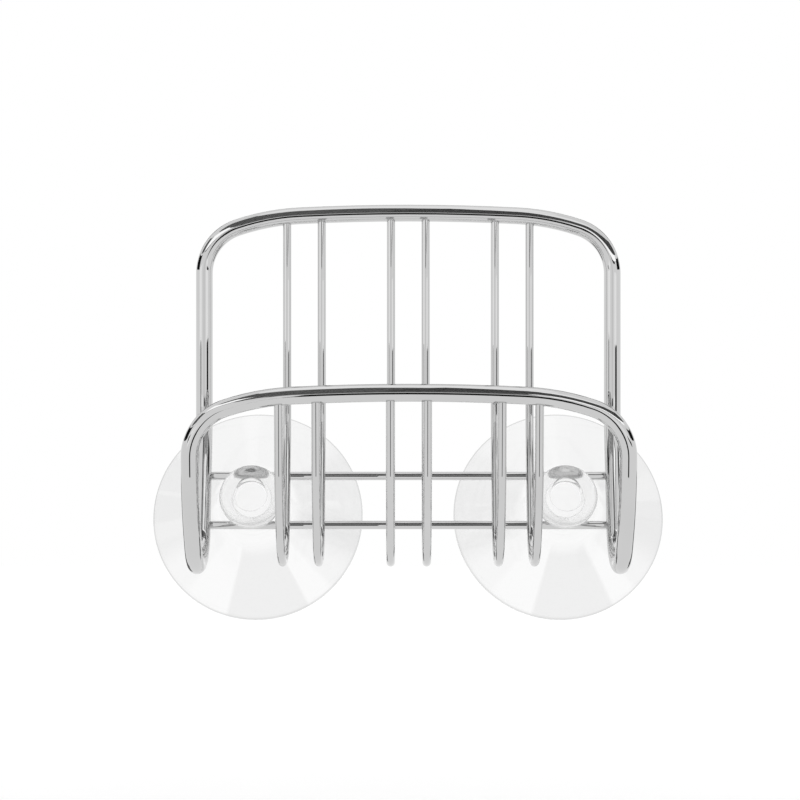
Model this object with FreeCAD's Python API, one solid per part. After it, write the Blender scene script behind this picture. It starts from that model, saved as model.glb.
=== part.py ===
import FreeCAD, Part
import math
import os

# A sponge holder of bent and welded chrome wire, held to a wall by two clear suction cups.
# Millimetres and degrees. X runs to the right, Y back to the wall and Z up.
# The origin is midway between the two cup rims, on the plane that they press against.

# Wire stock
loop_wire = 5.0
rib_wire = 2.5
cross_wire = 2.5

# Loop seen from the front: three tangent arcs make each half of a rail
loop_width = 122.5
crown_angle = 2.8
shoulder_angle = 18.7
shoulder_radius = 69.0
corner_radius = 14.5

# Loop seen from the side, on the wire's centreline, with heights counted from its lowest point
back_height = 104.1
front_height = 50.0
basket_depth = 38.2
bottom_radius = 12.0
back_lean = 12.0
lean_length = 22.8
knee_radius = 70.0
brow_height = 18.7
front_tilt = 4.0
sweep_share = 0.9

# Ribs, in pairs, butted under the middle of both rails, with their lowest point a little above the loop's
rib_pair_count = 3
rib_pair_spacing = 10.4
rib_lift = 1.0

# Cross wires, welded behind the ribs on the leaning part of the back
slot_height = 18.4
slot_spacing = 14.8
weld_sink = 0.4

# Suction cups, which rock in the slot between the cross wires
cup_droop = 4.0
cup_slide = 1.6
bay_play = 1.15
stop_clearance = 0.25
neck_clearance = 0.4
head_diameter = 18.8
head_height = 6.0
head_round_share = 0.42
recess_diameter = 9.7
recess_depth = 3.5
recess_round = 0.5
neck_round = 0.4
shoulder_diameter = 19.0
shoulder_round = 1.0
body_diameter = 22.0
body_height = 6.0
body_fillet = 7.0
rim_diameter = 65.0
rim_reach = 22.0
rim_thickness = 1.0
rim_flat = 3.0
dish_depth = 8.5

X_AXIS = FreeCAD.Vector(1, 0, 0)
BACK = FreeCAD.Vector(0, 1, 0)
UP = FreeCAD.Vector(0, 0, 1)

loop_half = loop_width / 2
loop_r = loop_wire / 2
rib_r = rib_wire / 2
cross_r = cross_wire / 2
slot_half = slot_spacing / 2


def sine(angle):
    return math.sin(math.radians(angle))


def cosine(angle):
    return math.cos(math.radians(angle))


class WirePath:
    """A centreline of straight runs and arcs, each tangent to the one before it."""

    def __init__(self, start, heading, inward):
        self.point = start
        self.heading = heading
        self.inward = inward
        self.edges = []
        self.length = 0

    def line(self, run):
        end = self.point + self.heading * run
        self.edges.append(Part.LineSegment(self.point, end).toShape())
        self.point = end
        self.length += run

    def arc(self, radius, turn):
        start = self.point
        centre = start + self.inward * radius
        middle = centre + (self.heading * sine(turn / 2) - self.inward * cosine(turn / 2)) * radius
        end = centre + (self.heading * sine(turn) - self.inward * cosine(turn)) * radius
        self.edges.append(Part.Arc(start, middle, end).toShape())
        heading = self.heading * cosine(turn) + self.inward * sine(turn)
        self.inward = self.inward * cosine(turn) - self.heading * sine(turn)
        self.heading = heading
        self.point = end
        self.length += radius * math.radians(turn)

    def tube(self, radius):
        first = self.edges[0]
        start = first.valueAt(first.FirstParameter)
        section = Part.Wire(Part.makeCircle(radius, start, first.tangentAt(first.FirstParameter)))
        return Part.Wire(self.edges).makePipeShell([section], True, False)


# The rail: crown, shoulder and corner

crown_reach = (loop_half - shoulder_radius * (sine(shoulder_angle) - sine(crown_angle))
               - corner_radius * (1 - sine(shoulder_angle)))
crown_radius = crown_reach / sine(crown_angle)
crown_sag = crown_radius * (1 - cosine(crown_angle))
rail_arcs = [
    (crown_radius, crown_angle),
    (shoulder_radius, shoulder_angle - crown_angle),
    (corner_radius, 90 - shoulder_angle),
]
rail_drop = (crown_sag + shoulder_radius * (cosine(crown_angle) - cosine(shoulder_angle))
             + corner_radius * cosine(shoulder_angle))


def rail_sag(x):
    """How far the rail's centreline lies below its crown, at a distance x from the middle."""
    if x <= crown_reach:
        return crown_radius - math.sqrt(crown_radius ** 2 - x ** 2)
    centre_x = crown_reach - shoulder_radius * sine(crown_angle)
    centre_sag = crown_sag + shoulder_radius * cosine(crown_angle)
    return centre_sag - math.sqrt(shoulder_radius ** 2 - (x - centre_x) ** 2)


# The bend seen from the side: back leg, knee, leaning run, bottom bend, brow and front leg.
# The brow is where the front leg's two straight runs would meet, and a wide sweep rounds it off.

bend_start = bottom_radius * (1 - sine(back_lean))
lean_forward = knee_radius * (1 - cosine(back_lean)) + lean_length * sine(back_lean)
bottom_forward = lean_forward + bottom_radius * cosine(back_lean)
knee_height = bend_start + lean_length * cosine(back_lean) + knee_radius * sine(back_lean)

front_rise = (front_height - brow_height) / cosine(front_tilt)
brow_forward = basket_depth - front_rise * sine(front_tilt) - bottom_forward
brow_run = math.sqrt(brow_forward ** 2 + (brow_height - bottom_radius) ** 2 - bottom_radius ** 2)
front_lean = (math.degrees(math.atan2(brow_forward, brow_height - bottom_radius))
              - math.degrees(math.atan2(bottom_radius, brow_run)))
bottom_turn = 180 - back_lean - front_lean
sweep_turn = front_lean - front_tilt
sweep_reach = sweep_share * min(brow_run, front_rise - rail_drop)
sweep_radius = sweep_reach / math.tan(math.radians(sweep_turn / 2))

# A wider bend between the same two leaning runs lies higher, which lifts the ribs
rib_bottom_radius = bottom_radius + rib_lift / (1 / cosine(bottom_turn / 2) - 1)


def add_bend(path, radius, rail_depth):
    """The U from rail_depth below the back crown, round the bottom, to rail_depth below the front one."""
    trim = (radius - bottom_radius) * math.tan(math.radians(bottom_turn / 2))
    path.inward = -BACK
    path.line(back_height - rail_depth - knee_height)
    path.arc(knee_radius, back_lean)
    path.line(lean_length - trim)
    path.arc(radius, bottom_turn)
    path.line(brow_run - sweep_reach - trim)
    path.arc(sweep_radius, sweep_turn)
    path.line(front_rise - rail_depth - sweep_reach)


# Where the slot for the cups lies, and the frame with it. The cups hang at the end of their play.

cup_tilt = back_lean + cup_droop
cup_axis = BACK * cosine(cup_tilt) - UP * sine(cup_tilt)
slot_middle = cup_axis * -rim_reach
lean_up = BACK * sine(back_lean) + UP * cosine(back_lean)
lean_back = BACK * cosine(back_lean) - UP * sine(back_lean)

cross_set_back = rib_r + cross_r - weld_sink
slot_along_lean = (slot_height - bend_start) / cosine(back_lean)
bend_point = slot_middle - lean_back * cross_set_back - lean_up * slot_along_lean
back_plane = bend_point.y + lean_forward
bottom_level = bend_point.z - bend_start


# The loop: half of it in one sweep, and its mirror image

def half_loop():
    crown = FreeCAD.Vector(0, back_plane, bottom_level + back_height)
    path = WirePath(crown, X_AXIS, -UP)
    for radius, turn in rail_arcs:
        path.arc(radius, turn)
    add_bend(path, bottom_radius, rail_drop)
    path.inward = -X_AXIS
    for radius, turn in reversed(rail_arcs):
        path.arc(radius, turn)
    return path


loop_path = half_loop()
right_half = loop_path.tube(loop_r)
left_half = right_half.mirror(FreeCAD.Vector(0, 0, 0), X_AXIS)
frame_loop = right_half.fuse(left_half).removeSplitter()


# Ribs: the outer ones leave a bay beside each leg that the cup's head fits into

bay_width = head_diameter + 2 * bay_play
outer_rib_x = loop_half - loop_r - bay_width - rib_r
outer_pair_x = outer_rib_x - rib_pair_spacing / 2
rib_pair_pitch = 2 * outer_pair_x / (rib_pair_count - 1)


def make_rib(x):
    """A rib whose ends are shaped to the rails that they meet."""
    sag = rail_sag(abs(x))
    top = FreeCAD.Vector(x, back_plane, bottom_level + back_height - sag)
    path = WirePath(top, -UP, -BACK)
    add_bend(path, rib_bottom_radius, sag)
    return path.tube(rib_r).cut(frame_loop)


ribs = []
for pair in range(rib_pair_count):
    pair_x = pair * rib_pair_pitch - outer_pair_x
    ribs.append(make_rib(pair_x - rib_pair_spacing / 2))
    ribs.append(make_rib(pair_x + rib_pair_spacing / 2))


# Cross wires end behind the legs of the loop, and the weld sinks them into the ribs and legs

def make_cross_wire(along_lean):
    middle = slot_middle + lean_up * along_lean
    wire = Part.makeCylinder(cross_r, loop_width, middle - X_AXIS * loop_half, X_AXIS)
    return wire.cut([frame_loop] + ribs)


cross_wires = {
    "cross_wire_upper": make_cross_wire(slot_half),
    "cross_wire_lower": make_cross_wire(-slot_half),
}


# Suction cups: a button head, a neck in the slot and a bell that opens to the rim

neck_r = slot_half - cross_r - neck_clearance
neck_half = cross_r + slot_half * sine(cup_droop) + stop_clearance
head_r = head_diameter / 2
head_round = head_height * head_round_share
head_front = -neck_half - head_height
recess_r = recess_diameter / 2
recess_floor = head_front + recess_depth
shoulder_r = shoulder_diameter / 2
body_r = body_diameter / 2
rim_r = rim_diameter / 2
dish_r = rim_r - rim_flat
dish_top = rim_reach - dish_depth
dish_sphere = (dish_r ** 2 + dish_depth ** 2) / (2 * dish_depth)
cup_x = outer_rib_x + rib_r + bay_width / 2 - cup_slide


def rounded_outline(corners):
    """Straight runs through corners given as (place, round), with a tangent arc at each inner corner."""
    edges = []
    start = corners[0][0]
    for (before, _), (corner, radius), (after, _) in zip(corners, corners[1:], corners[2:]):
        back = (before - corner).normalize()
        ahead = (after - corner).normalize()
        half_angle = back.getAngle(ahead) / 2
        trim = radius / math.tan(half_angle)
        arc_start = corner + back * trim
        arc_end = corner + ahead * trim
        bisector = (back + ahead).normalize()
        arc_middle = corner + bisector * (radius / math.sin(half_angle) - radius)
        edges.append(Part.LineSegment(start, arc_start).toShape())
        edges.append(Part.Arc(arc_start, arc_middle, arc_end).toShape())
        start = arc_end
    edges.append(Part.LineSegment(start, corners[-1][0]).toShape())
    return edges


def make_cup(x):
    pivot = slot_middle + X_AXIS * x

    def place(radius, along):
        return pivot + X_AXIS * radius + cup_axis * along

    outside = rounded_outline([
        (place(0, recess_floor), 0),
        (place(recess_r, recess_floor), recess_round),
        (place(recess_r, head_front), recess_round),
        (place(head_r, head_front), head_round),
        (place(head_r, -neck_half), head_round),
        (place(neck_r, -neck_half), neck_round),
        (place(neck_r, neck_half), neck_round),
        (place(shoulder_r, neck_half), shoulder_round),
        (place(body_r, neck_half + body_height), body_fillet),
        (place(rim_r, rim_reach - rim_thickness), 0),
    ])
    edge = Part.LineSegment(place(rim_r, rim_reach - rim_thickness), place(rim_r, rim_reach)).toShape()
    flat = Part.LineSegment(place(rim_r, rim_reach), place(dish_r, rim_reach)).toShape()
    middle_r = dish_r / 2
    dish_middle = dish_top + dish_sphere - math.sqrt(dish_sphere ** 2 - middle_r ** 2)
    dish = Part.Arc(place(dish_r, rim_reach), place(middle_r, dish_middle), place(0, dish_top)).toShape()
    core = Part.LineSegment(place(0, dish_top), place(0, recess_floor)).toShape()
    section = Part.Face(Part.Wire(outside + [edge, flat, dish, core]))
    return section.revolve(pivot, cup_axis, 360)


cups = {
    "suction_cup_left": make_cup(-cup_x),
    "suction_cup_right": make_cup(cup_x),
}


# One file for each piece

pieces = {"frame_loop": frame_loop}
for number, rib in enumerate(ribs, start=1):
    pieces["rib_wire_" + str(number)] = rib
pieces.update(cross_wires)
pieces.update(cups)

os.makedirs("parts", exist_ok=True)
for name, shape in pieces.items():
    shape.exportStep(os.path.join("parts", name + ".step"))

loop_volume = 2 * loop_path.length * math.pi * loop_r ** 2
print("loop volume over section times length:", round(frame_loop.Volume / loop_volume, 5))
for name, shape in pieces.items():
    print(name, "solids", len(shape.Solids), "valid", shape.isValid(), "volume", round(shape.Volume, 1))
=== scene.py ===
# %% [markdown]
# # A chrome wire sponge holder with two clear suction cups
#
# The holder is bent from bright chrome wire and hangs on a sink wall by two clear vinyl cups.
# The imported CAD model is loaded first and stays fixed: every mesh below takes its place from it.
# Chrome shows every facet, so each wire is made again here as a smooth tube on the same centreline.

# %% Load the frame
import math

import bmesh
import bpy
from mathutils import Matrix, Vector


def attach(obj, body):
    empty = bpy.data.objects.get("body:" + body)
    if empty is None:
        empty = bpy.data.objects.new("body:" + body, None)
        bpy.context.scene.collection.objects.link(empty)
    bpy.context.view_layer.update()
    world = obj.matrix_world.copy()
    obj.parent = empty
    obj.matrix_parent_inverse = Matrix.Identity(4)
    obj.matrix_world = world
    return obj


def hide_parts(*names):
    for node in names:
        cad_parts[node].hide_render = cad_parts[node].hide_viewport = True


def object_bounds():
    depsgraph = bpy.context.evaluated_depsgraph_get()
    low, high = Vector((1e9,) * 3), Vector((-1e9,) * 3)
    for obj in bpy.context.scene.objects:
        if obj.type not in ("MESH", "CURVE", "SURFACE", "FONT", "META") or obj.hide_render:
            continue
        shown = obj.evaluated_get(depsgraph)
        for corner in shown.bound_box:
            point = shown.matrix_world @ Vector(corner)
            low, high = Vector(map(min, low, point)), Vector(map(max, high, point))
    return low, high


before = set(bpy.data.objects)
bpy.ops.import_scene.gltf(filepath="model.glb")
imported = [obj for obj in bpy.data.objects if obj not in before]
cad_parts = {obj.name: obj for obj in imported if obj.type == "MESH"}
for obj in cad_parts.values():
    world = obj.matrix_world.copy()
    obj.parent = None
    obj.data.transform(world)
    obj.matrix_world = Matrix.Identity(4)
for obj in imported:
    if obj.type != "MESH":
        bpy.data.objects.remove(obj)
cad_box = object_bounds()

# %% [markdown]
# ## The centreline
#
# A wire shop works from a bend table: straight lengths, die radii and angles.
# The values are those of the CAD model, in metres and radians, so that the tubes lie on the solids.
# Seen from the front, half of a rail is three tangent arcs: a nearly flat crown, a shoulder and a corner.

# %% Wire stock and the rail's bends
MM = 0.001
LOOP_R = 2.5 * MM
RIB_R = 1.25 * MM
CROSS_R = 1.25 * MM

loop_half = 61.25 * MM
crown_angle = math.radians(2.8)
shoulder_angle = math.radians(18.7)
shoulder_radius = 69 * MM
corner_radius = 14.5 * MM

crown_reach = (loop_half - shoulder_radius * (math.sin(shoulder_angle) - math.sin(crown_angle))
               - corner_radius * (1 - math.sin(shoulder_angle)))
crown_radius = crown_reach / math.sin(crown_angle)
crown_sag = crown_radius * (1 - math.cos(crown_angle))
rail_bends = [
    (0, crown_radius, crown_angle),
    (0, shoulder_radius, shoulder_angle - crown_angle),
    (0, corner_radius, math.pi / 2 - shoulder_angle),
]
rail_drop = (crown_sag + shoulder_radius * (math.cos(crown_angle) - math.cos(shoulder_angle))
             + corner_radius * math.cos(shoulder_angle))


def rail_sag(x):
    """How far the rail's centreline lies below its crown, at a distance x from the middle."""
    if x <= crown_reach:
        return crown_radius - math.sqrt(crown_radius ** 2 - x ** 2)
    centre_x = crown_reach - shoulder_radius * math.sin(crown_angle)
    centre_sag = crown_sag + shoulder_radius * math.cos(crown_angle)
    return centre_sag - math.sqrt(shoulder_radius ** 2 - (x - centre_x) ** 2)


print("crown radius %.1f mm, rail drop %.2f mm" % (crown_radius / MM, rail_drop / MM))

# %% [markdown]
# Seen from the side the wire runs down the back, leans forward at a knee, rounds the bottom, and comes up the front
# in a wide sweep. The front leg's lean follows from where its two straight runs would meet, as in the CAD model.

# %% The bend seen from the side
back_height = 104.1 * MM
front_height = 50 * MM
basket_depth = 38.2 * MM
bottom_radius = 12 * MM
back_lean = math.radians(12)
lean_length = 22.8 * MM
knee_radius = 70 * MM
brow_height = 18.7 * MM
front_tilt = math.radians(4)
sweep_share = 0.9

bend_start = bottom_radius * (1 - math.sin(back_lean))
lean_forward = knee_radius * (1 - math.cos(back_lean)) + lean_length * math.sin(back_lean)
bottom_forward = lean_forward + bottom_radius * math.cos(back_lean)
knee_height = bend_start + lean_length * math.cos(back_lean) + knee_radius * math.sin(back_lean)
front_rise = (front_height - brow_height) / math.cos(front_tilt)
brow_forward = basket_depth - front_rise * math.sin(front_tilt) - bottom_forward
brow_run = math.sqrt(brow_forward ** 2 + (brow_height - bottom_radius) ** 2 - bottom_radius ** 2)
front_lean = (math.atan2(brow_forward, brow_height - bottom_radius)
              - math.atan2(bottom_radius, brow_run))
bottom_turn = math.pi - back_lean - front_lean
sweep_turn = front_lean - front_tilt
sweep_reach = sweep_share * min(brow_run, front_rise - rail_drop)
sweep_radius = sweep_reach / math.tan(sweep_turn / 2)


def bend_table(bend_radius, rail_depth):
    """The U as steps of (straight run, die radius, angle), from rail_depth below the back crown to the front."""
    trim = (bend_radius - bottom_radius) * math.tan(bottom_turn / 2)
    return [
        (back_height - rail_depth - knee_height, knee_radius, back_lean),
        (lean_length - trim, bend_radius, bottom_turn),
        (brow_run - sweep_reach - trim, sweep_radius, sweep_turn),
        (front_rise - rail_depth - sweep_reach, 0, 0),
    ]


print("front lean %.2f degrees" % math.degrees(front_lean))

# %% [markdown]
# The frame's origin lies between the cup rims, so the wires are placed from the slot that the cups hang in.

# %% Where the wires lie in the frame
RIGHT = Vector((1, 0, 0))
BACK = Vector((0, 1, 0))
UP = Vector((0, 0, 1))

slot_height = 18.4 * MM
slot_half = 7.4 * MM
weld_sink = 0.4 * MM
cup_droop = math.radians(4)
rim_reach = 22 * MM

cup_tilt = back_lean + cup_droop
cup_axis = BACK * math.cos(cup_tilt) - UP * math.sin(cup_tilt)
slot_middle = cup_axis * -rim_reach
lean_up = BACK * math.sin(back_lean) + UP * math.cos(back_lean)
lean_back = BACK * math.cos(back_lean) - UP * math.sin(back_lean)
cross_set_back = RIB_R + CROSS_R - weld_sink
slot_along_lean = (slot_height - bend_start) / math.cos(back_lean)
bend_point = slot_middle - lean_back * cross_set_back - lean_up * slot_along_lean
back_plane = bend_point.y + lean_forward
bottom_level = bend_point.z - bend_start
print("back plane %.2f mm, bottom %.2f mm" % (back_plane / MM, bottom_level / MM))

# %% [markdown]
# ## A small wire bender
#
# A bending machine feeds straight wire, or rolls it round a die. The class below does the same to a ring of edges:
# feed extrudes the ring straight ahead and roll spins it round a centre. That gives clean rows of quads
# that follow the wire, which a curve with a bevel would give too, but without the pressed-out welds.
# Each ring also keeps its place in the wire's own section, as a line scribed along the stock would, for the finish.

# %% The bender
STEP_ANGLE = math.radians(3)
LEAST_STEPS = 4


def edges_within(verts):
    touching = {edge for vert in verts for edge in vert.link_edges}
    return [edge for edge in touching if all(vert in verts for vert in edge.verts)]


class WireBender:
    def __init__(self, start, heading, inward, radius, sides):
        self.bm = bmesh.new()
        self.lay = self.bm.verts.layers.float_vector.new("lay")
        self.point = start.copy()
        self.heading = heading.copy()
        self.inward = inward.copy()
        self.mark = inward.copy()
        turned = Matrix((inward, heading.cross(inward), heading)).transposed().to_4x4()
        made = bmesh.ops.create_circle(
            self.bm, cap_ends=False, radius=radius, segments=sides,
            matrix=Matrix.Translation(start) @ turned)
        self.ring = made["verts"]
        self.first_ring = list(self.ring)
        self.scribe()

    def scribe(self):
        across = self.heading.cross(self.mark)
        for vert in self.ring:
            offset = vert.co - self.point
            vert[self.lay] = (offset.dot(self.mark), offset.dot(across), 0)

    def feed(self, run):
        grown = bmesh.ops.extrude_edge_only(self.bm, edges=edges_within(self.ring))
        self.ring = [g for g in grown["geom"] if isinstance(g, bmesh.types.BMVert)]
        bmesh.ops.translate(self.bm, verts=self.ring, vec=self.heading * run)
        self.point += self.heading * run
        self.scribe()

    def roll(self, die_radius, angle):
        centre = self.point + self.inward * die_radius
        axis = self.heading.cross(self.inward)
        steps = max(LEAST_STEPS, math.ceil(angle / STEP_ANGLE))
        turn = Matrix.Rotation(angle / steps, 3, axis)
        for _ in range(steps):
            spun = bmesh.ops.spin(
                self.bm, geom=self.ring + edges_within(self.ring), cent=centre, axis=axis,
                angle=angle / steps, steps=1, use_merge=False, use_duplicate=False)
            self.ring = [g for g in spun["geom_last"] if isinstance(g, bmesh.types.BMVert)]
            self.point = centre + turn @ (self.point - centre)
            self.heading = turn @ self.heading
            self.inward = turn @ self.inward
            self.mark = turn @ self.mark
            self.scribe()

    def swell(self, share):
        about_point = Matrix.Translation(-self.point)
        bmesh.ops.scale(self.bm, vec=(share,) * 3, space=about_point, verts=self.ring)

    def cap(self, ring):
        edges = edges_within(ring)
        bmesh.ops.contextual_create(self.bm, geom=edges)
        return edges


def bend(bender, steps):
    """Takes a wire through (straight run, die radius, angle) steps. A run or an angle may be missing."""
    for run, die_radius, angle in steps:
        if run:
            bender.feed(run)
        if angle:
            bender.roll(die_radius, angle)


def backwards(steps):
    """The same bends met from the other end, where each roll comes before its straight run."""
    for run, die_radius, angle in reversed(steps):
        yield 0, die_radius, angle
        yield run, 0, 0


# %% [markdown]
# Every piece ends the same way: doubles merged, normals out, smooth shading with only true edges kept sharp.
# It then rides on its body and stands for its CAD node, which is hidden.

# %% Finishing a piece
MERGE = 0.001 * MM
SHARP = math.radians(50)


def hand_over(name, bm, body, node):
    bmesh.ops.remove_doubles(bm, verts=bm.verts, dist=MERGE)
    bmesh.ops.recalc_face_normals(bm, faces=bm.faces)
    for face in bm.faces:
        face.smooth = True
    for edge in bm.edges:
        edge.smooth = edge.calc_face_angle(0) < SHARP
    mesh = bpy.data.meshes.new(name)
    bm.to_mesh(mesh)
    open_edges = sum(1 for edge in bm.edges if not edge.is_manifold)
    print(name, "faces", len(bm.faces), "open edges", open_edges)
    bm.free()
    piece = bpy.data.objects.new(name, mesh)
    bpy.context.scene.collection.objects.link(piece)
    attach(piece, body)
    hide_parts(node)
    return piece


# %% [markdown]
# ## The frame loop
#
# One 5 mm wire is bent to a crowned loop and folded up to a basket, and its ends are butt welded.
# The bender goes once round: back rail, right side, front rail, left side.
# The left side is the right side backwards.

# %% Bend the loop
LOOP_SIDES = 48

crown_top = Vector((0, back_plane, bottom_level + back_height))
loop = WireBender(crown_top, RIGHT, -UP, LOOP_R, LOOP_SIDES)
side_steps = bend_table(bottom_radius, rail_drop)
bend(loop, rail_bends)
loop.inward = -BACK
bend(loop, side_steps)
loop.inward = -RIGHT
bend(loop, backwards(rail_bends))

bend(loop, rail_bends)
loop.inward = BACK * math.cos(front_tilt) + UP * math.sin(front_tilt)
bend(loop, backwards(side_steps))
loop.inward = RIGHT
bend(loop, backwards(rail_bends))
print("loop closes to %.5f mm" % ((loop.point - crown_top).length / MM),
      "scribed line off by %.3f degrees" % math.degrees(loop.mark.angle(-UP)))
frame_loop = hand_over("frame_loop_tube", loop.bm, "basket", "frame_loop")

# %% [markdown]
# ## The ribs
#
# Six thin wires follow the loop's bend and are butt welded under the middle of both rails.
# Their bottom bend is a little wider than the loop's, between the same two leaning runs,
# so it lies higher and the holder stands on the loop.
# The plating smooths over the weld, so the tube simply runs into the rail: its end is buried there and capped.

# %% Bend the ribs
RIB_SIDES = 32
RIB_LIFT = 1.0 * MM
BURIED = 1.4 * MM
RIB_PLACES = [x * MM for x in (-36.4, -26.0, -5.2, 5.2, 26.0, 36.4)]
rib_bottom_radius = bottom_radius + RIB_LIFT / (1 / math.cos(bottom_turn / 2) - 1)

ribs = []
for number, x in enumerate(RIB_PLACES, start=1):
    sag = rail_sag(abs(x))
    top = crown_top + RIGHT * x - UP * (sag + BURIED)
    rib = WireBender(top, -UP, -BACK, RIB_R, RIB_SIDES)
    bend(rib, bend_table(rib_bottom_radius, sag + BURIED))
    rib.cap(rib.first_ring)
    rib.cap(rib.ring)
    node = "rib_wire_%d" % number
    ribs.append(hand_over(node + "_tube", rib.bm, "basket", node))

# %% [markdown]
# ## The cross wires
#
# Two straight wires are welded behind the ribs and the back legs, and leave the slot for the cups.
# Where a resistance weld sinks one wire into another, a little metal is pressed out to the sides,
# so the tube swells slightly at each rib. Their ends are cut square behind the legs
# and lose their edge in polishing.

# %% Run the cross wires
END_ROUND = 0.3 * MM
END_SEGMENTS = 3
PRESSED_STEP = 0.7 * MM
PRESSED_SHARES = [1.05, 1.1, 1.05, 1.0]    # the wire's width after each step, as a share of the stock's
PRESSED_HALF = len(PRESSED_SHARES) * PRESSED_STEP / 2

cross_wires = []
for name, along_lean in (("cross_wire_upper", slot_half), ("cross_wire_lower", -slot_half)):
    left_end = slot_middle + lean_up * along_lean - RIGHT * loop_half
    wire = WireBender(left_end, RIGHT, lean_up, CROSS_R, RIB_SIDES)
    for x in RIB_PLACES:
        wire.feed(x - PRESSED_HALF - wire.point.x)
        last = 1
        for share in PRESSED_SHARES:
            wire.feed(PRESSED_STEP)
            wire.swell(share / last)
            last = share
    wire.feed(loop_half - wire.point.x)
    end_edges = wire.cap(wire.first_ring) + wire.cap(wire.ring)
    bmesh.ops.bevel(
        wire.bm, geom=end_edges, offset=END_ROUND, offset_type="OFFSET", segments=END_SEGMENTS, profile=0.5,
        affect="EDGES", material=-1)
    cross_wires.append(hand_over(name + "_tube", wire.bm, "basket", name))

# %% [markdown]
# ## The suction cups
#
# Each cup is one moulding of clear soft vinyl: a button head with a round sink in it, a neck that sits in the slot,
# and a bell that thins to a flat rim. A moulding that is round about one axis is a spin of half its section.
# The section starts with sharp corners, and a vertex bevel gives each corner its radius before the spin.

# %% The cup's section
neck_clearance = 0.4 * MM
stop_clearance = 0.25 * MM
neck_r = slot_half - CROSS_R - neck_clearance
neck_half = CROSS_R + slot_half * math.sin(cup_droop) + stop_clearance
head_r = 9.4 * MM
head_height = 6 * MM
head_front = -neck_half - head_height
head_round = 0.42 * head_height
recess_r = 4.85 * MM
recess_depth = 3.5 * MM
recess_floor = head_front + recess_depth
recess_round = 0.5 * MM
neck_round = 0.4 * MM
shoulder_r = 9.5 * MM
shoulder_round = 1 * MM
body_r = 11 * MM
body_height = 6 * MM
body_end = neck_half + body_height
body_fillet = 7 * MM
rim_r = 32.5 * MM
rim_width = 3 * MM
rim_thickness = 1 * MM
rim_round = 0.25 * MM
dish_r = rim_r - rim_width
dish_depth = 8.5 * MM
dish_sphere = (dish_r ** 2 + dish_depth ** 2) / (2 * dish_depth)

# Each corner is (radius, place along the axis, round)
cup_section = [
    (0, recess_floor, 0),
    (recess_r, recess_floor, recess_round),
    (recess_r, head_front, recess_round),
    (head_r, head_front, head_round),
    (head_r, -neck_half, head_round),
    (neck_r, -neck_half, neck_round),
    (neck_r, neck_half, neck_round),
    (shoulder_r, neck_half, shoulder_round),
    (body_r, body_end, body_fillet),
    (rim_r, rim_reach - rim_thickness, rim_round),
    (rim_r, rim_reach, rim_round),
    (dish_r, rim_reach, 0),
]

# %% [markdown]
# The dish is part of a sphere, so its line is an arc: one vertex spun about the sphere's centre to the axis.
# Two attributes go with the mesh for the finish: the direction from the axis with the share of the rim's radius,
# which places the painted shade on the bell and at the rim's edge, and a mark on the head.

# %% Spin the cups
CUP_X = 46.6 * MM
CUP_STEPS = 128
DISH_STEPS = 24
ROUND_SEGMENTS = 8


def corner_trim(before, corner, after, radius):
    """How far from a corner a tangent arc of that radius starts."""
    half_angle = (before - corner).angle(after - corner) / 2
    return radius / math.tan(half_angle)


def moulded_cup(x):
    bm = bmesh.new()
    corners = [bm.verts.new((radius, 0, along)) for radius, along, _ in cup_section]
    for one, other in zip(corners, corners[1:]):
        bm.edges.new((one, other))
    dish_centre = Vector((0, 0, rim_reach - dish_depth + dish_sphere))
    dish_sweep = math.asin(dish_r / dish_sphere)
    bmesh.ops.spin(
        bm, geom=[corners[-1]], cent=dish_centre, axis=(0, 1, 0), angle=dish_sweep, steps=DISH_STEPS)
    trims = []
    for index in range(1, len(cup_section) - 1):
        places = [corners[i].co.copy() for i in (index - 1, index, index + 1)]
        trims.append((corners[index], corner_trim(*places, cup_section[index][2])))
    for corner, trim in trims:
        bmesh.ops.bevel(
            bm, geom=[corner], offset=trim, offset_type="OFFSET", segments=ROUND_SEGMENTS, profile=0.5,
            affect="VERTICES", material=-1, clamp_overlap=False)
    bmesh.ops.spin(
        bm, geom=bm.verts[:] + bm.edges[:], cent=(0, 0, 0), axis=(0, 0, 1), angle=2 * math.pi,
        steps=CUP_STEPS, use_merge=True)
    spoke = bm.verts.layers.float_vector.new("spoke")
    head = bm.verts.layers.float.new("head")
    for vert in bm.verts:
        across = Vector((vert.co.x, vert.co.y, 0))
        vert[spoke] = (*across.normalized().xy, across.length / rim_r)
        vert[head] = vert.co.z < -neck_half + MERGE
    turned = Matrix((RIGHT, cup_axis.cross(RIGHT), cup_axis)).transposed().to_4x4()
    bmesh.ops.transform(bm, matrix=Matrix.Translation(slot_middle + RIGHT * x) @ turned, verts=bm.verts)
    return bm


cups = [
    hand_over("suction_cup_left_moulding", moulded_cup(-CUP_X), "left_cup", "suction_cup_left"),
    hand_over("suction_cup_right_moulding", moulded_cup(CUP_X), "right_cup", "suction_cup_right"),
]

# %% [markdown]
# ## Finishes
#
# One function turns an sRGB hex value to the linear colour that Blender works in, one adds a node with its links,
# and one starts an empty material.

# %% Helpers for the finishes
WHITE = (1, 1, 1, 1)


def hex_colour(text):
    values = [int(text[i:i + 2], 16) / 255 for i in (1, 3, 5)]
    linear = [v / 12.92 if v <= 0.04045 else ((v + 0.055) / 1.055) ** 2.4 for v in values]
    return (*linear, 1)


def add(tree, kind, links=None, **settings):
    """Adds a node. Settings name its properties or, with a leading in_, its input sockets."""
    node = tree.nodes.new(kind)
    for key, value in settings.items():
        if key.startswith("in_"):
            node.inputs[key[3:].replace("_", " ")].default_value = value
        else:
            setattr(node, key, value)
    for socket, source in (links or {}).items():
        tree.links.new(source, node.inputs[socket])
    return node


def new_material(name):
    material = bpy.data.materials.new(name)
    material.use_nodes = True
    material.node_tree.nodes.clear()
    return material


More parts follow.
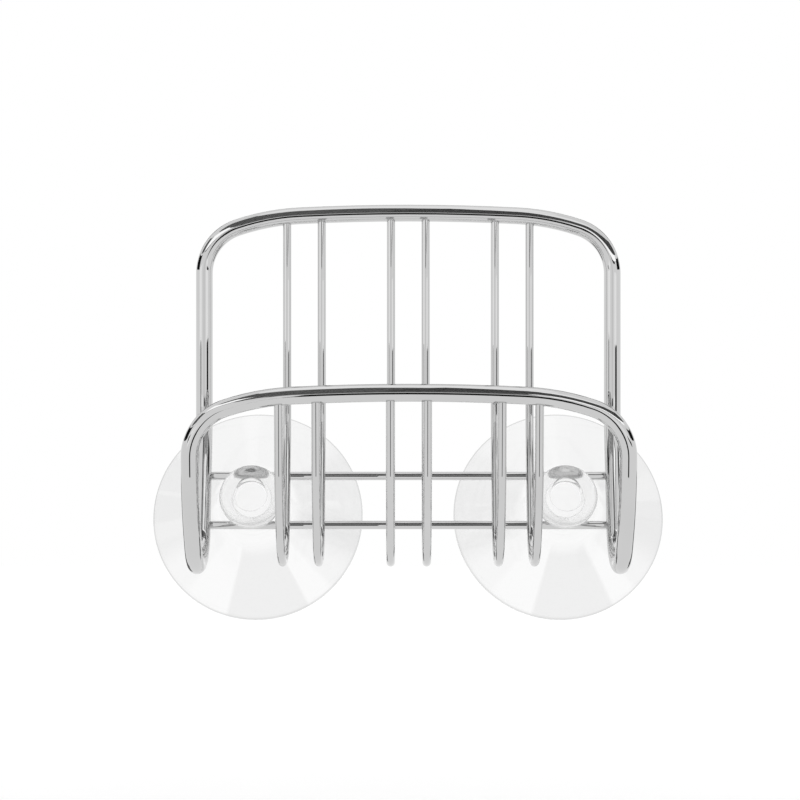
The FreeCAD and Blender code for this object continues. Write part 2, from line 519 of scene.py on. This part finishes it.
# %% [markdown]
# ### Bright chrome plate on drawn steel wire
#
# Nickel and chrome are plated on after bending and welding. The surface is a mirror with a plain grey tone.
# What the eye reads is the studio in it, so the plate needs only small faults: the wire is not perfectly round
# after the rollers, which bends the reflections over some millimetres, the drawing die leaves faint lines
# lengthwise, and handling leaves a haze in patches.
# The lines follow the attribute that the bender scribed on the wire.

# %% Chrome plate
ROLLER_WAVE = 9 * MM       # spacing of the slow bends that the rollers leave
ROLLER_HEIGHT = 0.007 * MM
HAZE_PATCH = 14 * MM       # size of the hazier patches
DIE_LINE = 0.9 * MM        # width of the drawing lines, wider than they are so that they show
DIE_HEIGHT = 0.0004 * MM
DIE_LENGTH = 45 * MM       # how far a drawing line runs before it fades
DIE_SHARE = 0.4            # part of the drawing lines in the haze, the rest being the patches
PLATE_ROUGHNESS = (0.012, 0.035)

chrome = new_material("chrome_plated_drawn_steel")
tree = chrome.node_tree
place = add(tree, "ShaderNodeTexCoord")
lay = add(tree, "ShaderNodeAttribute", attribute_name="lay")
wave = add(tree, "ShaderNodeTexNoise", {"Vector": place.outputs["Object"]},
           in_Scale=1 / ROLLER_WAVE, in_Detail=1.0)
haze = add(tree, "ShaderNodeTexNoise", {"Vector": place.outputs["Object"]},
           in_Scale=1 / HAZE_PATCH, in_Detail=3.0)
around = add(tree, "ShaderNodeVectorMath", {0: lay.outputs["Vector"]}, operation="SCALE", in_Scale=1 / DIE_LINE)
drawn = add(tree, "ShaderNodeVectorMath", {0: place.outputs["Object"], 2: around.outputs["Vector"]},
            operation="MULTIPLY_ADD")
drawn.inputs[1].default_value = (1 / DIE_LENGTH,) * 3
die_lines = add(tree, "ShaderNodeTexNoise", {"Vector": drawn.outputs["Vector"]}, in_Scale=1.0, in_Detail=1.0)
tone = add(tree, "ShaderNodeMix", {"Factor": haze.outputs["Fac"]}, data_type="RGBA")
tone.inputs["A"].default_value = hex_colour("#C6C6C6")
tone.inputs["B"].default_value = hex_colour("#CECECE")
mist = add(tree, "ShaderNodeMix", {"A": haze.outputs["Fac"], "B": die_lines.outputs["Fac"]}, in_Factor=DIE_SHARE)
gloss = add(tree, "ShaderNodeMapRange", {"Value": mist.outputs["Result"]}, in_From_Min=0.3, in_From_Max=0.75,
            in_To_Min=PLATE_ROUGHNESS[0], in_To_Max=PLATE_ROUGHNESS[1])
rolled_bump = add(tree, "ShaderNodeBump", {"Height": wave.outputs["Fac"]},
                  in_Strength=1.0, in_Distance=ROLLER_HEIGHT)
drawn_bump = add(tree, "ShaderNodeBump",
                 {"Height": die_lines.outputs["Fac"], "Normal": rolled_bump.outputs["Normal"]},
                 in_Strength=1.0, in_Distance=DIE_HEIGHT)
plate = add(tree, "ShaderNodeBsdfPrincipled",
            {"Base Color": tone.outputs["Result"], "Roughness": gloss.outputs["Result"],
             "Normal": drawn_bump.outputs["Normal"]}, in_Metallic=1.0)
add(tree, "ShaderNodeOutputMaterial", {"Surface": plate.outputs["BSDF"]})

for piece in [frame_loop, *ribs, *cross_wires]:
    piece.data.materials.append(chrome)
print("chrome on", 1 + len(ribs) + len(cross_wires), "wires")

# %% [markdown]
# ### Clear soft vinyl, moulded
#
# Plasticised PVC is water clear. It bends light a little less than hard PVC does, takes its gloss from the mould,
# is never quite flat because it is soft, and looks faintly grey where the eye looks through much of it.
# The grey is absorption in the volume, so the rim draws its own outline, and a painted shade line darkens the rim's
# very edge as well. The thick head is hazy:
# what clouds the vinyl a little adds up there, and the wires behind it blur away.
# Wedges of painted shade darken the bell's tint outside its middle, standing in for the shade that the studio
# throws through the clear vinyl.

# %% Clear vinyl
SOFT_WAVE = 16 * MM        # slow unevenness of a soft moulding
SOFT_HEIGHT = 0.02 * MM
MOULD_GRAIN = 2.5 * MM
MOULD_ROUGHNESS = (0.04, 0.1)
HEAD_ROUGHNESS = 0.2
VINYL_IOR = 1.42
GREY_PER_METRE = 2.0       # density of the absorption
SKIRT_SHARES = (0.36, 0.42)        # where the painted shade wedges fade in, as shares of the rim's radius
EDGE_SHARES = (0.982, 0.992)       # where the painted shade line at the rim's edge fades in
# Each painted shade wedge is (direction from straight down, half its width, half the width of its edge, depth), in
# degrees
PAINTED_SHADE_WEDGES = [
    (7, 23, 1.5, 0.6),
    (-58, 16, 3, 0.2),
    (66, 20, 3, 0.3),
    (96, 28, 12, 0.55),
    (-96, 28, 12, 0.55),
    (150, 32, 6, 0.35),
    (-148, 26, 6, 0.3),
]

vinyl = new_material("clear_moulded_soft_pvc")
tree = vinyl.node_tree
place = add(tree, "ShaderNodeTexCoord")
wave = add(tree, "ShaderNodeTexNoise", {"Vector": place.outputs["Object"]},
           in_Scale=1 / SOFT_WAVE, in_Detail=1.0)
grain = add(tree, "ShaderNodeTexNoise", {"Vector": place.outputs["Object"]},
            in_Scale=1 / MOULD_GRAIN, in_Detail=2.0)
spoke = add(tree, "ShaderNodeAttribute", attribute_name="spoke")
outward = add(tree, "ShaderNodeSeparateXYZ", {"Vector": spoke.outputs["Vector"]})
skirt = add(tree, "ShaderNodeMapRange", {"Value": outward.outputs["Z"]},
            in_From_Min=SKIRT_SHARES[0], in_From_Max=SKIRT_SHARES[1])
# Painted shade: darker wedges on the bell, summed here and mixed into the tint below
shade_wedges = []
for direction, half_width, half_edge, depth in PAINTED_SHADE_WEDGES:
    angle = math.radians(direction)
    along = add(tree, "ShaderNodeVectorMath", {0: spoke.outputs["Vector"]}, operation="DOT_PRODUCT")
    along.inputs[1].default_value = (math.sin(angle), math.cos(angle), 0)
    inside = add(tree, "ShaderNodeMapRange", {"Value": along.outputs["Value"]},
                 interpolation_type="SMOOTHSTEP",
                 in_From_Min=math.cos(math.radians(half_width + half_edge)),
                 in_From_Max=math.cos(math.radians(half_width - half_edge)),
                 in_To_Max=depth)
    shade_wedges.append(inside.outputs["Result"])
all_shade_wedges = shade_wedges[0]
for mark in shade_wedges[1:]:
    all_shade_wedges = add(tree, "ShaderNodeMath", {0: all_shade_wedges, 1: mark}, operation="ADD").outputs["Value"]
painted_shade = add(tree, "ShaderNodeMath", {0: all_shade_wedges, 1: skirt.outputs["Result"]}, operation="MULTIPLY")
# The tint turns darker grey where the painted shade wedges lie
tint = add(tree, "ShaderNodeMix", {"Factor": painted_shade.outputs["Value"]}, data_type="RGBA")
tint.inputs["A"].default_value = hex_colour("#FBFBFB")
tint.inputs["B"].default_value = hex_colour("#E8E8E8")
# Painted shade: a darker grey line along the very edge of the rim, mixed into the tint
painted_edge_shade = add(tree, "ShaderNodeMapRange", {"Value": outward.outputs["Z"]},
              in_From_Min=EDGE_SHARES[0], in_From_Max=EDGE_SHARES[1])
edge_tint = add(tree, "ShaderNodeMix", {"Factor": painted_edge_shade.outputs["Result"], "A": tint.outputs["Result"]},
                data_type="RGBA")
edge_tint.inputs["B"].default_value = hex_colour("#DADADA")
gloss = add(tree, "ShaderNodeMapRange", {"Value": grain.outputs["Fac"]}, in_From_Min=0.3, in_From_Max=0.7,
            in_To_Min=MOULD_ROUGHNESS[0], in_To_Max=MOULD_ROUGHNESS[1])
soft_bump = add(tree, "ShaderNodeBump", {"Height": wave.outputs["Fac"]},
                in_Strength=1.0, in_Distance=SOFT_HEIGHT)
head = add(tree, "ShaderNodeAttribute", attribute_name="head")
hazed = add(tree, "ShaderNodeMix", {"Factor": head.outputs["Fac"], "A": gloss.outputs["Result"]},
            in_B=HEAD_ROUGHNESS)
clear = add(tree, "ShaderNodeBsdfPrincipled",
            {"Base Color": edge_tint.outputs["Result"], "Roughness": hazed.outputs["Result"],
             "Normal": soft_bump.outputs["Normal"]}, in_IOR=VINYL_IOR)
clear.inputs["Transmission Weight"].default_value = 1.0
grey = add(tree, "ShaderNodeVolumeAbsorption", in_Color=hex_colour("#B8B8B8"), in_Density=GREY_PER_METRE)
add(tree, "ShaderNodeOutputMaterial", {"Surface": clear.outputs["BSDF"], "Volume": grey.outputs["Volume"]})

for piece in cups:
    piece.data.materials.append(vinyl)
print("vinyl on", len(cups), "cups")

# %% [markdown]
# ## The studio
#
# A white surround lights the holder evenly, as a light tent does, and gives the pure white ground.
# Chrome in an all-white tent has no form, so studios hang black flags where its edges should turn dark.
# Here curved flags hang in front and above, with soft boxes between them. The flags draw the dark line
# along each rail, and the boxes draw the white wedges at the corners.
# The upright wires look past them and stay pale.
# The floor is pale paint, lifted to white for the camera. The wires and cups mirror it as part of the white tent.

# %% World and floor
FLOOR_DROP = 0.27
FLOOR_SIZE = 6.0
FLOOR_LIFT = 0.34

scene = bpy.context.scene
scene.view_settings.view_transform = "Standard"
world = bpy.data.worlds.new("white_tent")
world.use_nodes = True
scene.world = world
world.node_tree.nodes.clear()
sky = add(world.node_tree, "ShaderNodeBackground", in_Color=WHITE, in_Strength=1.0)
add(world.node_tree, "ShaderNodeOutputWorld", {"Surface": sky.outputs["Background"]})

pale = new_material("pale_painted_floor")
tree = pale.node_tree
ray = add(tree, "ShaderNodeLightPath")
mirrored = add(tree, "ShaderNodeMath",
               {0: ray.outputs["Is Glossy Ray"], 1: ray.outputs["Is Transmission Ray"]}, operation="MAXIMUM")
lift = add(tree, "ShaderNodeMath", {0: ray.outputs["Is Camera Ray"]}, operation="MULTIPLY")
lift.inputs[1].default_value = FLOOR_LIFT
paint = add(tree, "ShaderNodeBsdfDiffuse", in_Color=hex_colour("#DCDCDC"))
fill = add(tree, "ShaderNodeEmission", {"Strength": lift.outputs["Value"]}, in_Color=WHITE)
lit = add(tree, "ShaderNodeAddShader", {0: paint.outputs["BSDF"], 1: fill.outputs["Emission"]})
white = add(tree, "ShaderNodeEmission", in_Color=WHITE, in_Strength=1.0)
both = add(tree, "ShaderNodeMixShader",
           {0: mirrored.outputs["Value"], 1: lit.outputs["Shader"], 2: white.outputs["Emission"]})
add(tree, "ShaderNodeOutputMaterial", {"Surface": both.outputs["Shader"]})

floor_level = cad_box[0].z - FLOOR_DROP
bm = bmesh.new()
bmesh.ops.create_grid(bm, x_segments=1, y_segments=1, size=FLOOR_SIZE / 2,
                      matrix=Matrix.Translation((0, 0, floor_level)))
floor_mesh = bpy.data.meshes.new("floor")
bm.to_mesh(floor_mesh)
bm.free()
floor = bpy.data.objects.new("floor", floor_mesh)
scene.collection.objects.link(floor)
floor.data.materials.append(pale)
print("floor at %.0f mm" % (floor_level / MM))

# %% [markdown]
# The camera stands level in front, a little left of the middle. It is close enough for the front rail to look wider
# than the back one.

# %% The camera
CAMERA_AHEAD = 525 * MM
CAMERA_LEFT = 2.5 * MM
CAMERA_HEIGHT = 36.1 * MM
CAMERA_PLACE = Vector((-CAMERA_LEFT, back_plane - CAMERA_AHEAD, CAMERA_HEIGHT))
IMAGE_WIDTH = 800
FOCAL_PIXELS = 1748
SENSOR_WIDTH = 36.0

lens = bpy.data.cameras.new("studio_camera")
lens.sensor_width = SENSOR_WIDTH
lens.lens = FOCAL_PIXELS * SENSOR_WIDTH / IMAGE_WIDTH
camera = bpy.data.objects.new("studio_camera", lens)
camera.location = CAMERA_PLACE
camera.rotation_euler = (math.pi / 2, 0, 0)
scene.collection.objects.link(camera)
scene.camera = camera
print("lens %.1f mm" % lens.lens)

# %% [markdown]
# Every flag and panel is a patch of a dome round the holder, or of a smaller one round a shoulder of the back rail.
# It is given by directions: degrees to the right of the camera, and degrees up at its left and right sides.
# Where only one side is given, both are the same.
# A flat grid is made first, and each of its points is then moved out to its direction.
# None of the panels shows to the camera itself, or through the clear cups.

# %% One function for all panels
STAGE_RADIUS = 1.0
STAGE_MIDDLE = Vector((0, back_plane, CAMERA_HEIGHT))
PANEL_COLUMNS = 32
PANEL_ROWS = 16


def between(pair, share):
    return pair[0] + (pair[1] - pair[0]) * share


def dome_panel(name, material, azimuths, left_side, right_side=None, radius=STAGE_RADIUS, middle=STAGE_MIDDLE):
    right_side = right_side or left_side
    bm = bmesh.new()
    bmesh.ops.create_grid(bm, x_segments=PANEL_COLUMNS, y_segments=PANEL_ROWS, size=0.5)
    for vert in bm.verts:
        across, upward = vert.co.x + 0.5, vert.co.y + 0.5
        azimuth = math.radians(between(azimuths, across))
        low_and_high = [between(ends, across) for ends in zip(left_side, right_side)]
        elevation = math.radians(between(low_and_high, upward))
        level = Vector((math.sin(azimuth), -math.cos(azimuth), 0))
        vert.co = middle + (level * math.cos(elevation) + UP * math.sin(elevation)) * radius
    mesh = bpy.data.meshes.new(name)
    bm.to_mesh(mesh)
    bm.free()
    panel = bpy.data.objects.new(name, mesh)
    scene.collection.objects.link(panel)
    panel.data.materials.append(material)
    panel.visible_camera = False
    panel.visible_transmission = False


# %% [markdown]
# Flags are dull cloth, which only looks mid grey in a white tent. Velvet stays nearly black.
# Silks are lit from behind, so they glow a little less or more than the tent does.

# %% Cloths and silks


def stage_cloth(name, colour):
    material = new_material(name)
    cloth = add(material.node_tree, "ShaderNodeBsdfDiffuse", in_Color=hex_colour(colour))
    add(material.node_tree, "ShaderNodeOutputMaterial", {"Surface": cloth.outputs["BSDF"]})
    return material


def stage_silk(name, strength):
    material = new_material(name)
    glow = add(material.node_tree, "ShaderNodeEmission", in_Color=WHITE, in_Strength=strength)
    add(material.node_tree, "ShaderNodeOutputMaterial", {"Surface": glow.outputs["Emission"]})
    return material


black_cloth = stage_cloth("black_flag_cloth", "#7E7E7E")
dark_cloth = stage_cloth("dark_flag_cloth", "#6A6A6A")
velvet = stage_cloth("black_velvet", "#202020")
dim_silk = stage_silk("dim_silk", 0.86)
soft_silk = stage_silk("thin_silk", 1.22)
bright_silk = stage_silk("soft_box_silk", 1.6)

# %% [markdown]
# The high flags draw the dark band along the rails. The soft boxes beside them, edged with a strip of velvet,
# draw the white wedges at the corners, and the silk overhead draws the light line on top.

# %% High panels
SHOULDER_X = 50 * MM
SHOULDER_Z = 88 * MM
NEAR_LEFT = {"radius": 0.15, "middle": Vector((-SHOULDER_X, back_plane, SHOULDER_Z))}
NEAR_RIGHT = {"radius": 0.30, "middle": Vector((SHOULDER_X, back_plane, SHOULDER_Z))}

dome_panel("flag_middle", black_cloth, (-9, 8), (7, 72), (7, 62))
dome_panel("flag_left_inner", black_cloth, (-24, -9), (34, 62), (12, 72))
dome_panel("flag_left", black_cloth, (-62, -24), (46, 70), (34, 62))
dome_panel("flag_left_end", black_cloth, (-95, -62), (24, 40))
dome_panel("flag_right_inner", dark_cloth, (-12, 12), (7, 66), (13, 46), **NEAR_RIGHT)
dome_panel("flag_right", dark_cloth, (12, 92), (13, 44), (20, 34), **NEAR_RIGHT)
dome_panel("soft_box_left_inner", bright_silk, (-24, -10), (15, 32), (13, 14.5), **NEAR_LEFT)
dome_panel("soft_box_left", bright_silk, (-56, -24), (18, 36), (15, 32), **NEAR_LEFT)
dome_panel("soft_box_right", bright_silk, (6, 70), (4, 10), (13, 19), **NEAR_RIGHT)
dome_panel("strip_left", velvet, (-50, -18), (15.5, 17.5), (12, 14), **NEAR_LEFT)
dome_panel("strip_right", velvet, (13, 45), (3.5, 5), (7.5, 9.4), **NEAR_RIGHT)
dome_panel("upper_silk_right", soft_silk, (8, 60), (43, 72), (37, 66))
dome_panel("overhead_silk", soft_silk, (-180, 180), (72, 90))

# %% [markdown]
# Panels near the horizon give the upright wires their lengthwise streaks. A silk lightens a streak and a velvet
# flag darkens it. The two side flags stand higher and darken the inner sides of the leaning runs.
# One flag stands close to the holder, so that only the nearer wires mirror it.

# %% Panels near the horizon
CLOSE_RADIUS = 0.35

dome_panel("skirt_upper", dim_silk, (-10, 6), (1.5, 7))
dome_panel("skirt_lower", velvet, (-5, 10), (-26, 1.5))
dome_panel("side_silk_left", soft_silk, (-65, -33), (3.5, 11))
dome_panel("side_silk_right", soft_silk, (24, 54), (3.5, 6.5))
dome_panel("low_flag_left", velvet, (-54.5, -46), (0.5, 5.4), radius=CLOSE_RADIUS)
dome_panel("low_flag_right", velvet, (36, 60), (0, 3.4))
dome_panel("low_silk_left", soft_silk, (-44, -20), (-3, 1.5))
dome_panel("low_silk_right", soft_silk, (12, 34), (-3, 1.5))
dome_panel("side_flag_left", velvet, (-120, -66), (9, 22))
dome_panel("side_flag_right", velvet, (66, 120), (9, 19))

# %% [markdown]
# Behind the holder, two low flags and a high one give the wires such dark streaks when it is seen from the back.
# They stay out of the directions that the front of the wires mirrors.

# %% Panels behind
REAR_RADIUS = 0.4

dome_panel("rear_flag_left", black_cloth, (-150, -128), (-40, -7), radius=REAR_RADIUS)
dome_panel("rear_flag_right", black_cloth, (118, 136), (-40, -7), radius=REAR_RADIUS)
dome_panel("rear_flag_high", black_cloth, (140, 220), (16, 34))
